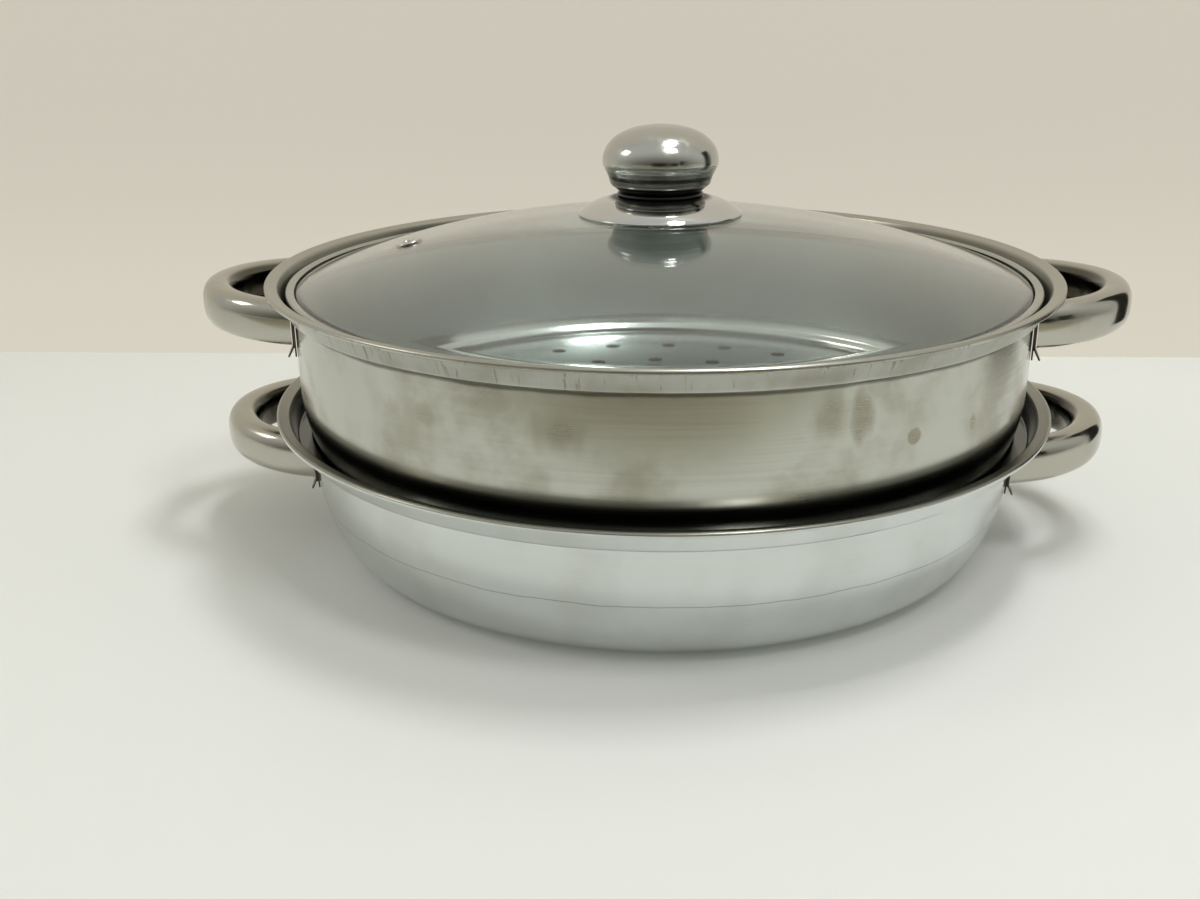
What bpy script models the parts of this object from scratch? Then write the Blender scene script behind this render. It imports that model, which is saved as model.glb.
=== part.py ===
# Two-tier steamer pot: a rounded pot, a perforated steamer tier and a domed glass lid.
# Metres, +Z up, the pot's base on Z = 0, the turning axis on Z and the handles along X.
import math
from collections import namedtuple

import bmesh
import bpy
from mathutils import Matrix, Vector

MM = 0.001

# Clearance between pieces that touch, and the number of facets round a turned piece
GAP = 0.3 * MM
SHELL_STEPS = 40
KNOB_STEPS = 24
BORE_STEPS = 16

# Facets along the rounded stretches of the turned profiles
FLANK_STEPS = 2
FOOT_STEPS = 4
SHOULDER_STEPS = 4
GLASS_RINGS = 6
DOME_RINGS = 5
CAP_RINGS = 7

# Steamer: straight wall, a rounded shoulder that seats in the pot, then a shelf and a sunk floor
STEAMER_WALL_RADIUS = 147.1 * MM
STEAMER_WALL_DEPTH = 45.1 * MM
SHOULDER_RADIUS = 35.0 * MM
SHELF_DEPTH = 61.9 * MM
SHELF_INSET = 7.7 * MM
FLOOR_SINK = 2.9 * MM
FLOOR_SLOPE = 1.4 * MM

# Rim shared by both tiers: a ledge out of the wall, a conical collar, a flange and a hemmed lip
SHEET = 0.7 * MM
LEDGE_WIDTH = 2.9 * MM
LEDGE_FALL = 0.3 * MM
COLLAR_DEPTH = 9.9 * MM
COLLAR_FLARE = 3.2 * MM
FLANGE_WIDTH = 4.3 * MM
FLANGE_RISE = 0.9 * MM
HEM_DROP = 1.5 * MM

# Pot: tapered wall, flank and foot arcs, and a base panel raised inside the ring it stands on
POT_HEIGHT = 58.5 * MM
POT_WALL_INSET = 2.9 * MM
POT_WALL_TAPER = 1.5 * MM
FLANK_RADIUS = 60.0 * MM
FLANK_ANGLE = math.radians(80.0)
FOOT_RADIUS = 16.0 * MM
FOOT_ANGLE = math.radians(60.0)
BASE_RING_WIDTH = 21.7 * MM
BASE_PANEL_RISE = 1.2 * MM
BASE_PANEL_SLOPE = 4.0 * MM

# Steam holes: the rings' radii, how many holes each has and the angle of its first hole
HOLE_RADIUS = 3.5 * MM
HOLE_STEPS = 8
HOLE_CUT_DEPTH = 8.0 * MM
RING_RADII = (109.0 * MM, 81.0 * MM, 54.0 * MM, 27.0 * MM)
RING_COUNTS = (24, 18, 12, 6)
RING_ANGLES = (math.radians(87.4), math.radians(91.3), math.radians(90.0), math.radians(75.0))

# Hollow loop handles: an elliptical arch of rounded box section that rises from wall to tip
HANDLE_REACH = 48.4 * MM
HANDLE_HALF_SPAN = 49.3 * MM
HANDLE_WIDTH = 13.0 * MM
HANDLE_HEIGHT = 17.1 * MM
HANDLE_CORNER = 5.8 * MM
HANDLE_SHEET = 1.0 * MM
HANDLE_SLOPE = math.radians(3.2)
HANDLE_STEPS = 12
HANDLE_CORNER_STEPS = 2
HANDLE_TAIL = 8.0 * MM
END_BLOCK = 50.0 * MM
POT_HANDLE_INSET = 8.8 * MM
POT_HANDLE_DROP = 7.2 * MM
STEAMER_HANDLE_INSET = 7.1 * MM
STEAMER_HANDLE_DROP = 4.2 * MM

# Plates between the handle ends and the wall: two sheets that part at the foot
PLATE_SHEET = 1.2 * MM
PLATE_WIDTH = 15.0 * MM
PLATE_FOOT = 4.4 * MM
PRONG_SHEET = 0.6 * MM
PRONG_SPREAD = 2.2 * MM

# Glass lid and the steel band round it, which stands just inside the collar
GLASS_INSET = 2.6 * MM
GLASS_RISE = 26.0 * MM
GLASS_THICKNESS = 3.6 * MM
GLASS_EDGE_DROP = 1.8 * MM
BAND_INSET = 0.2 * MM
BAND_HEIGHT = 6.0 * MM
BAND_LIP = 3.2 * MM
BAND_SHEET = 0.6 * MM
BAND_TOP_ROUND = 0.9 * MM
BAND_FOOT_ROUND = 1.4 * MM

# Vent: a steel eyelet clenched in a hole of the glass
VENT_INSET = 45.2 * MM
VENT_ANGLE = math.radians(183.6)
VENT_HOLE_RADIUS = 3.6 * MM
VENT_CUT_DEPTH = 15.0 * MM
EYELET_BORE_RADIUS = 2.2 * MM
EYELET_FLANGE_RADIUS = 5.5 * MM
EYELET_SHEET = 0.7 * MM

# Knob: domed plate, phenolic core with a collar, steel lower shell and steel cap
PLATE_RADIUS = 33.0 * MM
DOME_HEIGHT = 6.9 * MM
DOME_FLAT_RADIUS = 16.5 * MM
DOME_POWER = 3.9
DOME_SHEET = 0.6 * MM
COLLAR_RADIUS = 17.1 * MM
COLLAR_HEIGHT = 1.1 * MM
CORE_NECK_RADIUS = 12.4 * MM
CORE_RADIUS = 15.8 * MM
CORE_HEIGHT = 14.0 * MM
KNOB_SHEET = 0.6 * MM
KNOB_NECK_RADIUS = 16.5 * MM
KNOB_SEAM_RADIUS = 22.1 * MM
KNOB_RADIUS = 23.1 * MM
LOWER_SHELL_HEIGHT = 8.6 * MM
LOWER_SHELL_RATIOS = ((0.16, 0.23), (0.37, 0.61), (0.70, 0.77))
CAP_BELLY = 3.0 * MM
CAP_RISE = 14.1 * MM
CAP_POWER = 2.2

# Screw, insert, washer and gasket that hold the knob to the glass
SCREW_RADIUS = 2.5 * MM
SCREW_HEAD_RADIUS = 5.0 * MM
SCREW_HEAD_HEIGHT = 2.8 * MM
SCREW_CROWN_RADIUS = 3.0 * MM
SCREW_CROWN_HEIGHT = 1.4 * MM
SCREW_SLOT = 1.2 * MM
INSERT_WALL = 1.6 * MM
INSERT_LENGTH = 13.0 * MM
GLASS_HOLE_RADIUS = 4.2 * MM
GASKET_RADIUS = 9.0 * MM
GASKET_HEIGHT = 1.4 * MM
WASHER_RADIUS = 8.0 * MM
WASHER_HEIGHT = 1.0 * MM


# Radii and heights that follow from the sizes above

POT_WALL_RADIUS = STEAMER_WALL_RADIUS - POT_WALL_INSET
COLLAR_FOOT_RADIUS = STEAMER_WALL_RADIUS + LEDGE_WIDTH
FLANGE_FOOT_RADIUS = COLLAR_FOOT_RADIUS + COLLAR_FLARE
LIP_RADIUS = FLANGE_FOOT_RADIUS + FLANGE_WIDTH
SHELF_RADIUS = STEAMER_WALL_RADIUS - SHELF_INSET
BAND_RADIUS = COLLAR_FOOT_RADIUS - BAND_INSET
GLASS_RADIUS = BAND_RADIUS - GLASS_INSET
VENT_DISTANCE = GLASS_RADIUS - VENT_INSET


def shoulder_drop(radius):
    """How far below the wall the steamer's shoulder has come in to this radius."""
    inward = radius - (STEAMER_WALL_RADIUS - SHOULDER_RADIUS)
    return math.sqrt(SHOULDER_RADIUS**2 - inward**2)


Tier = namedtuple("Tier", "name lip ledge wall lean handle_inset handle_drop")

FLANK_HEIGHT = FOOT_RADIUS + (FLANK_RADIUS - FOOT_RADIUS) * math.cos(FOOT_ANGLE)
FLANK_TOP = FLANK_HEIGHT - FLANK_RADIUS * math.cos(FLANK_ANGLE)
POT_LEDGE = POT_HEIGHT - COLLAR_DEPTH - LEDGE_FALL
POT_LEAN = math.atan(POT_WALL_TAPER / (POT_LEDGE - FLANK_TOP))
SEAT_RADIUS = POT_WALL_RADIUS - SHEET
SEAT_DROP = shoulder_drop(SEAT_RADIUS)
SEAT_GAP = GAP * SHOULDER_RADIUS / SEAT_DROP
SHOULDER_TOP = POT_LEDGE + SHEET + SEAT_GAP + SEAT_DROP
STEAMER_TOP = SHOULDER_TOP + STEAMER_WALL_DEPTH
STEAMER_LEDGE = STEAMER_TOP - COLLAR_DEPTH - LEDGE_FALL
BAND_FOOT = STEAMER_LEDGE + LEDGE_FALL + SHEET + GAP
BAND_TOP = BAND_FOOT + BAND_HEIGHT
GLASS_SPHERE = (GLASS_RISE**2 + GLASS_RADIUS**2) / (2.0 * GLASS_RISE)
GLASS_EDGE = BAND_TOP - GLASS_EDGE_DROP
GLASS_APEX = GLASS_EDGE + GLASS_RISE

POT_TIER = Tier(
    "pot", POT_HEIGHT, POT_LEDGE, POT_WALL_RADIUS, POT_LEAN, POT_HANDLE_INSET, POT_HANDLE_DROP
)
STEAMER_TIER = Tier(
    "steamer",
    STEAMER_TOP,
    STEAMER_LEDGE,
    STEAMER_WALL_RADIUS,
    0.0,
    STEAMER_HANDLE_INSET,
    STEAMER_HANDLE_DROP,
)


def glass_top(radius):
    """Height of the glass's upper face at this distance from the axis."""
    return GLASS_APEX - GLASS_SPHERE + math.sqrt(GLASS_SPHERE**2 - radius**2)


DOME_FOOT = glass_top(PLATE_RADIUS) + GAP + DOME_SHEET


def dome_top(radius):
    """Height of the knob plate's upper face, which is flat under the knob."""
    share = max(radius, DOME_FLAT_RADIUS) / PLATE_RADIUS
    return DOME_FOOT + DOME_HEIGHT * (1.0 - share**DOME_POWER)


COLLAR_FOOT = dome_top(0.0) + GAP
LOWER_SHELL_FOOT = COLLAR_FOOT + COLLAR_HEIGHT + GAP
KNOB_SEAM = LOWER_SHELL_FOOT + LOWER_SHELL_HEIGHT
GASKET_TOP = GLASS_APEX - GLASS_THICKNESS - GAP
WASHER_TOP = GASKET_TOP - GASKET_HEIGHT - GAP
SCREW_SEAT = WASHER_TOP - WASHER_HEIGHT - GAP


# Scene, collections, materials and bodies

for old in list(bpy.data.objects):
    bpy.data.objects.remove(old, do_unlink=True)

parts = bpy.data.collections.new("steamer_pot")
cutters = bpy.data.collections.new("cutters")
bpy.context.scene.collection.children.link(parts)
bpy.context.scene.collection.children.link(cutters)
cutters.hide_render = True


def material(name, colour, roughness, metallic=0.0, alpha=1.0):
    mat = bpy.data.materials.new(name)
    mat.use_nodes = True
    shader = mat.node_tree.nodes["Principled BSDF"]
    shader.inputs["Base Color"].default_value = (*colour, 1.0)
    shader.inputs["Roughness"].default_value = roughness
    shader.inputs["Metallic"].default_value = metallic
    shader.inputs["Alpha"].default_value = alpha
    return mat


def body_empty(name, height, parent=None):
    empty = bpy.data.objects.new(name, None)
    empty.location = (0.0, 0.0, height)
    parts.objects.link(empty)
    if parent:
        carry(empty, parent)
    return empty


def carry(obj, body):
    """Parent obj to the body's empty and keep obj where it stands."""
    bpy.context.view_layer.update()
    obj.parent = body
    obj.matrix_parent_inverse = body.matrix_world.inverted()


def finish_node(obj, mat, body):
    obj.data.materials.clear()
    obj.data.materials.append(mat)
    carry(obj, body)
    return obj


def make_cutter(obj):
    for collection in list(obj.users_collection):
        collection.objects.unlink(obj)
    cutters.objects.link(obj)
    obj.hide_render = True
    obj.display_type = "WIRE"
    return obj


def cut(obj, cutter, name):
    modifier = obj.modifiers.new(name, "BOOLEAN")
    modifier.operation = "DIFFERENCE"
    modifier.solver = "EXACT"
    modifier.object = cutter


# Turned pieces: a profile of (radius, height) points and a Screw modifier

def turned(name, profile, steps, closed=False, wall=0.0):
    count = len(profile)
    edges = [(i, i + 1) for i in range(count - 1)]
    if closed:
        edges.append((count - 1, 0))
    mesh = bpy.data.meshes.new(name)
    mesh.from_pydata([(radius, 0.0, height) for radius, height in profile], edges, [])
    obj = bpy.data.objects.new(name, mesh)
    parts.objects.link(obj)
    screw = obj.modifiers.new("turn", "SCREW")
    screw.axis = "Z"
    screw.steps = steps
    screw.render_steps = steps
    screw.use_merge_vertices = True
    screw.merge_threshold = 0.00001
    screw.use_smooth_shade = True
    if wall:
        solidify = obj.modifiers.new("sheet", "SOLIDIFY")
        solidify.thickness = wall
        solidify.offset = -1.0
        solidify.use_even_offset = True
    return obj


def arc(centre, radius, start, end, steps):
    """Points on a circle, with angles measured from straight down towards +X."""
    points = []
    for i in range(steps + 1):
        angle = start + (end - start) * i / steps
        points.append((centre[0] + radius * math.sin(angle), centre[1] - radius * math.cos(angle)))
    return points


def rim_profile(tier):
    """Outside of the rim, from the hem's edge over the flange and down the collar to the wall."""
    return [
        (LIP_RADIUS - SHEET, tier.lip - HEM_DROP),
        (LIP_RADIUS - SHEET, tier.lip - SHEET),
        (FLANGE_FOOT_RADIUS, tier.lip - SHEET - FLANGE_RISE),
        (COLLAR_FOOT_RADIUS, tier.ledge + LEDGE_FALL),
        (tier.wall, tier.ledge),
    ]


def pot_profile():
    flank_x = POT_WALL_RADIUS - POT_WALL_TAPER - FLANK_RADIUS * math.sin(FLANK_ANGLE)
    foot_x = flank_x + (FLANK_RADIUS - FOOT_RADIUS) * math.sin(FOOT_ANGLE)
    flank = arc((flank_x, FLANK_HEIGHT), FLANK_RADIUS, FLANK_ANGLE, FOOT_ANGLE, FLANK_STEPS)
    foot = arc((foot_x, FOOT_RADIUS), FOOT_RADIUS, FOOT_ANGLE, 0.0, FOOT_STEPS)
    ring_x = foot_x - BASE_RING_WIDTH
    panel = [
        (ring_x, 0.0),
        (ring_x - BASE_PANEL_SLOPE, BASE_PANEL_RISE),
        (0.0, BASE_PANEL_RISE),
    ]
    return rim_profile(POT_TIER) + flank + foot[1:] + panel


def steamer_profile():
    shelf = STEAMER_TOP - SHELF_DEPTH
    floor = shelf - FLOOR_SINK
    end_angle = math.acos((SHOULDER_TOP - shelf) / SHOULDER_RADIUS)
    centre = (STEAMER_WALL_RADIUS - SHOULDER_RADIUS, SHOULDER_TOP)
    shoulder = arc(centre, SHOULDER_RADIUS, math.pi / 2.0, end_angle, SHOULDER_STEPS)
    bottom = [
        (SHELF_RADIUS, shelf),
        (SHELF_RADIUS - FLOOR_SLOPE, floor),
        (0.0, floor),
    ]
    return rim_profile(STEAMER_TIER) + shoulder + bottom


def steam_hole_cutter():
    bm = bmesh.new()
    middle = STEAMER_TOP - SHELF_DEPTH - FLOOR_SINK
    for ring_radius, count, first in zip(RING_RADII, RING_COUNTS, RING_ANGLES):
        for i in range(count):
            angle = first + 2.0 * math.pi * i / count
            place = Vector((ring_radius * math.cos(angle), ring_radius * math.sin(angle), middle))
            bmesh.ops.create_cone(
                bm,
                cap_ends=True,
                segments=HOLE_STEPS,
                radius1=HOLE_RADIUS,
                radius2=HOLE_RADIUS,
                depth=HOLE_CUT_DEPTH,
                matrix=Matrix.Translation(place) @ Matrix.Rotation(angle, 4, "Z"),
            )
    mesh = bpy.data.meshes.new("steam_holes")
    bm.to_mesh(mesh)
    bm.free()
    obj = bpy.data.objects.new("steam_holes", mesh)
    cutters.objects.link(obj)
    return make_cutter(obj)


# Handles and their plates

def handle_section():
    """Rounded box outline of the handle's tube, drawn clockwise so that its sweep faces out."""
    points = []
    for quarter in range(4):
        turn = -quarter * math.pi / 2.0
        middle = turn - math.pi / 4.0
        centre_x = math.copysign(HANDLE_WIDTH / 2.0 - HANDLE_CORNER, math.cos(middle))
        centre_y = math.copysign(HANDLE_HEIGHT / 2.0 - HANDLE_CORNER, math.sin(middle))
        for i in range(HANDLE_CORNER_STEPS + 1):
            angle = turn - math.pi / 2.0 * i / HANDLE_CORNER_STEPS
            x = centre_x + HANDLE_CORNER * math.cos(angle)
            y = centre_y + HANDLE_CORNER * math.sin(angle)
            points.append((x, y, 0.0))
    section = poly_curve("handle_section", points, cyclic=True, flat=True)
    return make_cutter(section)


def poly_curve(name, points, cyclic, flat):
    curve = bpy.data.curves.new(name, "CURVE")
    curve.dimensions = "2D" if flat else "3D"
    spline = curve.splines.new("POLY")
    spline.points.add(len(points) - 1)
    for point, place in zip(spline.points, points):
        point.co = (*place, 1.0)
    spline.use_cyclic_u = cyclic
    obj = bpy.data.objects.new(name, curve)
    parts.objects.link(obj)
    return obj


def handle_path():
    """Half ellipse in plan, rising to its tip at the origin's height, with straight tails."""
    reach = HANDLE_REACH - HANDLE_WIDTH / 2.0
    span = HANDLE_HALF_SPAN - HANDLE_WIDTH / 2.0
    plan = [(-HANDLE_TAIL, -span)]
    for i in range(HANDLE_STEPS + 1):
        angle = math.pi * (i / HANDLE_STEPS - 0.5)
        plan.append((reach * math.cos(angle), span * math.sin(angle)))
    plan.append((-HANDLE_TAIL, span))
    return [(x, y, (x - reach) * math.tan(HANDLE_SLOPE)) for x, y in plan]


def handle_mesh():
    """Open-ended tube swept along the handle's path, as a mesh that Booleans can trim."""
    section = handle_section()
    sweep = poly_curve("handle_sweep", handle_path(), cyclic=False, flat=False)
    sweep.data.twist_mode = "Z_UP"
    sweep.data.bevel_mode = "OBJECT"
    sweep.data.bevel_object = section
    graph = bpy.context.evaluated_depsgraph_get()
    mesh = bpy.data.meshes.new_from_object(sweep.evaluated_get(graph))
    bpy.data.objects.remove(sweep, do_unlink=True)
    bm = bmesh.new()
    bm.from_mesh(mesh)
    bmesh.ops.remove_doubles(bm, verts=bm.verts, dist=0.00001)
    bm.to_mesh(mesh)
    bm.free()
    mesh.shade_smooth()
    mesh.set_sharp_from_angle(angle=math.radians(50.0))
    return mesh


def wall_frame(tier, facing):
    """Axes on the wall under the ledge: X out of the wall, Z up along it."""
    place = Matrix.Translation((tier.wall, 0.0, tier.ledge))
    return Matrix.Rotation(facing, 4, "Z") @ place @ Matrix.Rotation(tier.lean, 4, "Y")


def leg_facings(tier, turn):
    """Directions from the axis to the front and back legs of the handle at this turn."""
    angle = math.asin((HANDLE_HALF_SPAN - HANDLE_WIDTH / 2.0) / tier.wall) * math.cos(turn)
    return (("front", turn - angle), ("back", turn + angle))


def end_cutter(name, frame):
    """Block whose outer face trims a handle's end just clear of its plate."""
    face = GAP + PLATE_SHEET + GAP
    bpy.ops.mesh.primitive_cube_add(size=END_BLOCK)
    block = bpy.context.object
    block.name = name
    block.matrix_world = frame @ Matrix.Translation((face - END_BLOCK / 2.0, 0.0, 0.0))
    return make_cutter(block)


def collar_cutter(tier):
    """Turned ring that keeps the handles clear of the collar above the ledge."""
    profile = [
        (tier.wall - HANDLE_TAIL, tier.lip),
        (FLANGE_FOOT_RADIUS + GAP, tier.lip),
        (FLANGE_FOOT_RADIUS + GAP, tier.lip - SHEET - FLANGE_RISE),
        (COLLAR_FOOT_RADIUS + GAP, tier.ledge + LEDGE_FALL - GAP),
        (tier.wall - HANDLE_TAIL, tier.ledge - GAP),
    ]
    return make_cutter(turned(f"{tier.name}_collar_clearance", profile, SHELL_STEPS, closed=True))


def add_handles(tier, mesh, body):
    height = tier.lip - tier.handle_drop - HANDLE_HEIGHT / 2.0
    collar = collar_cutter(tier)
    for side, turn in (("right", 0.0), ("left", math.pi)):
        handle = bpy.data.objects.new(f"{tier.name}_handle_{side}", mesh.copy())
        parts.objects.link(handle)
        place = Matrix.Translation((tier.wall - tier.handle_inset, 0.0, height))
        handle.matrix_world = Matrix.Rotation(turn, 4, "Z") @ place
        solidify = handle.modifiers.new("sheet", "SOLIDIFY")
        solidify.thickness = HANDLE_SHEET
        solidify.offset = -1.0
        solidify.use_even_offset = True
        cut(handle, collar, "collar")
        for end, facing in leg_facings(tier, turn):
            frame = wall_frame(tier, facing)
            cut(handle, end_cutter(f"{tier.name}_end_{side}_{end}", frame), f"end_{end}")
            handle_plate(f"{tier.name}_handle_plate_{side}_{end}", tier, frame, body)
        finish_node(handle, polished_steel, body)


def handle_plate(name, tier, frame, body):
    tip_foot = tier.lip - tier.handle_drop - HANDLE_HEIGHT
    handle_foot = tip_foot - HANDLE_REACH * math.tan(HANDLE_SLOPE) - tier.ledge
    foot = handle_foot - PLATE_FOOT
    near = GAP
    far = GAP + PLATE_SHEET
    outline = [
        (near, -GAP, 0.0),
        (near, foot, 0.0),
        (near + PRONG_SHEET, foot, 0.0),
        ((near + far) / 2.0, handle_foot, 0.0),
        (far + PRONG_SPREAD - PRONG_SHEET, foot, 0.0),
        (far + PRONG_SPREAD, foot, 0.0),
        (far, handle_foot, 0.0),
        (far, -GAP, 0.0),
    ]
    plate = poly_curve(name, outline, cyclic=True, flat=True)
    plate.data.fill_mode = "BOTH"
    plate.data.extrude = PLATE_WIDTH / 2.0
    plate.matrix_world = frame @ Matrix.Rotation(math.pi / 2.0, 4, "X")
    finish_node(plate, polished_steel, body)


# Lid

def glass_lid(body):
    rings = [GLASS_HOLE_RADIUS]
    rings += [GLASS_RADIUS * i / GLASS_RINGS for i in range(1, GLASS_RINGS + 1)]
    profile = [(radius, glass_top(radius)) for radius in rings]
    glass = turned("lid_glass", profile, SHELL_STEPS, wall=GLASS_THICKNESS)
    bpy.ops.mesh.primitive_cylinder_add(
        vertices=BORE_STEPS, radius=VENT_HOLE_RADIUS, depth=VENT_CUT_DEPTH
    )
    drill = bpy.context.object
    drill.name = "vent_hole"
    drill.matrix_world = vent_frame()
    cut(glass, make_cutter(drill), "vent")
    return finish_node(glass, tempered_glass, body)


def vent_frame():
    """Axes at the vent: Z along the glass's normal, the origin halfway through the glass."""
    lean = math.asin(VENT_DISTANCE / GLASS_SPHERE)
    depth = GLASS_SPHERE - GLASS_THICKNESS / 2.0
    centre = Matrix.Translation((0.0, 0.0, GLASS_APEX - GLASS_SPHERE))
    return centre @ Matrix.Rotation(VENT_ANGLE, 4, "Z") @ Matrix.Rotation(lean, 4, "Y") @ (
        Matrix.Translation((0.0, 0.0, depth))
    )


def vent_eyelet(body):
    stem = VENT_HOLE_RADIUS - GAP
    under = GLASS_THICKNESS / 2.0 + GAP
    over = under + EYELET_SHEET
    profile = [
        (EYELET_BORE_RADIUS, over),
        (EYELET_FLANGE_RADIUS - EYELET_SHEET, over),
        (EYELET_FLANGE_RADIUS, under),
        (stem, under),
        (stem, -under),
        (EYELET_FLANGE_RADIUS, -under),
        (EYELET_FLANGE_RADIUS - EYELET_SHEET, -over),
        (EYELET_BORE_RADIUS, -over),
    ]
    eyelet = turned("vent_eyelet", profile, BORE_STEPS, closed=True)
    eyelet.matrix_world = vent_frame()
    return finish_node(eyelet, polished_steel, body)


def lid_band(body):
    inner = BAND_RADIUS - BAND_LIP
    profile = [
        (inner, glass_top(inner) + GAP + BAND_SHEET),
        (BAND_RADIUS - BAND_TOP_ROUND, BAND_TOP),
        (BAND_RADIUS, BAND_TOP - BAND_TOP_ROUND),
        (BAND_RADIUS, BAND_FOOT + BAND_FOOT_ROUND),
        (BAND_RADIUS - BAND_FOOT_ROUND, BAND_FOOT),
        (inner, BAND_FOOT),
    ]
    band = turned("lid_rim", profile, SHELL_STEPS, wall=BAND_SHEET)
    return finish_node(band, polished_steel, body)


# Knob and its fixings

def knob_plate(body):
    hole = SCREW_RADIUS + GAP
    step = (PLATE_RADIUS - DOME_FLAT_RADIUS) / DOME_RINGS
    slope = [DOME_FLAT_RADIUS + step * i for i in range(DOME_RINGS + 1)]
    profile = [(radius, dome_top(radius)) for radius in [hole] + slope]
    return finish_node(turned("knob_base_plate", profile, KNOB_STEPS, wall=DOME_SHEET), chrome, body)


def knob_core(body):
    bore = SCREW_RADIUS + GAP + INSERT_WALL + GAP
    shoulder = COLLAR_FOOT + COLLAR_HEIGHT
    seat = LOWER_SHELL_FOOT + KNOB_SHEET + GAP
    top = seat + CORE_HEIGHT
    profile = [
        (bore, top),
        (CORE_RADIUS, top),
        (CORE_RADIUS, seat),
        (CORE_NECK_RADIUS, seat),
        (CORE_NECK_RADIUS, shoulder),
        (COLLAR_RADIUS, shoulder),
        (COLLAR_RADIUS, COLLAR_FOOT),
        (bore, COLLAR_FOOT),
    ]
    return finish_node(turned("knob_collar", profile, KNOB_STEPS, closed=True), phenolic, body)


def knob_lower_shell(body):
    profile = [(KNOB_SEAM_RADIUS, KNOB_SEAM)]
    for rise, swell in reversed(LOWER_SHELL_RATIOS):
        radius = KNOB_NECK_RADIUS + swell * (KNOB_SEAM_RADIUS - KNOB_NECK_RADIUS)
        profile.append((radius, LOWER_SHELL_FOOT + rise * LOWER_SHELL_HEIGHT))
    profile.append((KNOB_NECK_RADIUS, LOWER_SHELL_FOOT))
    profile.append((CORE_NECK_RADIUS + GAP, LOWER_SHELL_FOOT))
    return finish_node(turned("knob_lower_shell", profile, KNOB_STEPS, wall=KNOB_SHEET), steel, body)


def knob_cap(body):
    belly = KNOB_SEAM + GAP + CAP_BELLY
    profile = [(0.0, belly + CAP_RISE)]
    for i in range(1, CAP_RINGS):
        angle = math.pi / 2.0 * i / CAP_RINGS
        radius = KNOB_RADIUS * math.sin(angle) ** (2.0 / CAP_POWER)
        profile.append((radius, belly + CAP_RISE * math.cos(angle) ** (2.0 / CAP_POWER)))
    profile.append((KNOB_RADIUS, belly))
    profile.append((KNOB_SEAM_RADIUS, KNOB_SEAM + GAP))
    return finish_node(turned("knob_cap", profile, KNOB_STEPS, wall=KNOB_SHEET), steel, body)


def ring(name, inner, outer, foot, top, mat, body):
    profile = [(inner, top), (outer, top), (outer, foot), (inner, foot)]
    return finish_node(turned(name, profile, BORE_STEPS, closed=True), mat, body)


def knob_fixings(body):
    bore = SCREW_RADIUS + GAP
    insert_top = COLLAR_FOOT + INSERT_LENGTH
    ring("knob_insert", bore, bore + INSERT_WALL, COLLAR_FOOT, insert_top, brass, body)
    gasket_foot = GASKET_TOP - GASKET_HEIGHT
    ring("glass_gasket", bore, GASKET_RADIUS, gasket_foot, GASKET_TOP, silicone, body)
    washer_foot = WASHER_TOP - WASHER_HEIGHT
    ring("screw_washer", bore, WASHER_RADIUS, washer_foot, WASHER_TOP, polished_steel, body)
    screw_foot = SCREW_SEAT - SCREW_HEAD_HEIGHT
    screw = turned(
        "knob_screw",
        [
            (0.0, insert_top - GAP),
            (SCREW_RADIUS, insert_top - GAP),
            (SCREW_RADIUS, SCREW_SEAT),
            (SCREW_HEAD_RADIUS, SCREW_SEAT),
            (SCREW_HEAD_RADIUS, screw_foot + SCREW_CROWN_HEIGHT),
            (SCREW_CROWN_RADIUS, screw_foot),
            (0.0, screw_foot),
        ],
        BORE_STEPS,
    )
    bpy.ops.mesh.primitive_cube_add(size=1.0)
    slot = bpy.context.object
    slot.name = "screw_slot"
    slot.scale = (3.0 * SCREW_HEAD_RADIUS, SCREW_SLOT, SCREW_SLOT)
    slot.location = (0.0, 0.0, screw_foot)
    cut(screw, make_cutter(slot), "slot")
    finish_node(screw, polished_steel, body)


steel = material("brushed_steel", (0.52, 0.53, 0.50), 0.30, 1.0)
polished_steel = material("polished_steel", (0.60, 0.60, 0.57), 0.16, 1.0)
chrome = material("chrome_plate", (0.66, 0.66, 0.65), 0.08, 1.0)
tempered_glass = material("tempered_glass", (0.78, 0.84, 0.80), 0.03, 0.0, 0.35)
phenolic = material("black_phenolic", (0.012, 0.012, 0.013), 0.35)
silicone = material("clear_silicone", (0.55, 0.55, 0.52), 0.55)
brass = material("brass_insert", (0.55, 0.40, 0.16), 0.30, 1.0)

pot = body_empty("pot_axis", 0.0)
steamer = body_empty("steamer_axis", POT_LEDGE + SHEET, pot)
lid = body_empty("lid_axis", STEAMER_LEDGE + SHEET, steamer)
loop = handle_mesh()

finish_node(turned("pot_body", pot_profile(), SHELL_STEPS, wall=SHEET), steel, pot)
add_handles(POT_TIER, loop, pot)

steamer_body = turned("steamer_body", steamer_profile(), SHELL_STEPS, wall=SHEET)
cut(steamer_body, steam_hole_cutter(), "steam_holes")
finish_node(steamer_body, steel, steamer)
add_handles(STEAMER_TIER, loop, steamer)

glass_lid(lid)
lid_band(lid)
vent_eyelet(lid)
knob_plate(lid)
knob_core(lid)
knob_lower_shell(lid)
knob_cap(lid)
knob_fixings(lid)
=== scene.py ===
# Two-tier steamer pot with a glass lid, standing on a white table in soft studio light.
# Sizes in the dictionaries are millimetres; meshes and places are metres.
import math

import bmesh
import bpy
from mathutils import Matrix, Vector


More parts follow.
